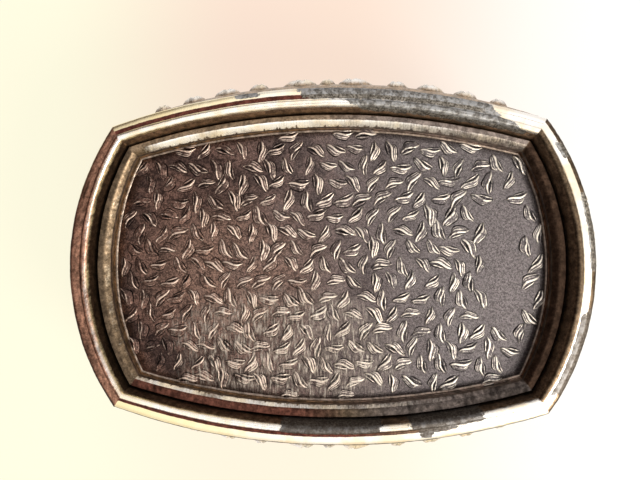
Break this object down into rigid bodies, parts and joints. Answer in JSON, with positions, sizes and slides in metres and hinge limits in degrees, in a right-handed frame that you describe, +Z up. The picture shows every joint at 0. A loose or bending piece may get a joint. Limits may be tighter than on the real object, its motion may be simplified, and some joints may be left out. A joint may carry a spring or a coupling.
{
  "type": "trinket box",
  "caption": "Cushion-shaped cast metal trinket box on a foot ring, with a leaf-patterned underside, a bombe wall and a hinged domed lid over a velvet lining.",
  "frame": {"origin": "the middle of the bounding box at the table, under the flat land of the foot ring", "axes": "+X along the box to the right as seen from the front, +Y to the back where the hinges are, +Z up"},
  "size_m": [0.1164, 0.0888, 0.0427],
  "materials": {
    "antiqued_plate": "silver plate over a cast white-metal body, darkened in the recesses and worn bright on the ridges",
    "pin_metal": "plain drawn pin, dull",
    "card": "grey-brown card",
    "velvet": "short-pile velvet, wine red"
  },
  "bodies": {
    "box": {"body": "antiqued_plate", "base_plate": "antiqued_plate", "hinge_pin_left": "pin_metal", "hinge_pin_right": "pin_metal", "floor_board": "card", "floor_pad": "velvet", "lining_right": "velvet", "lining_back": "velvet", "lining_left": "velvet", "lining_front": "velvet"},
    "lid": {"lid": "antiqued_plate", "lid_board": "card", "lid_pad": "velvet"}
  },
  "joints": [
    {"name": "lid_hinge", "type": "hinge", "parent": "box", "child": "lid", "pos_m": [0, 0.0427, 0.02995], "axis": [-1, 0, 0], "range_deg": [0, 100]}
  ]
}
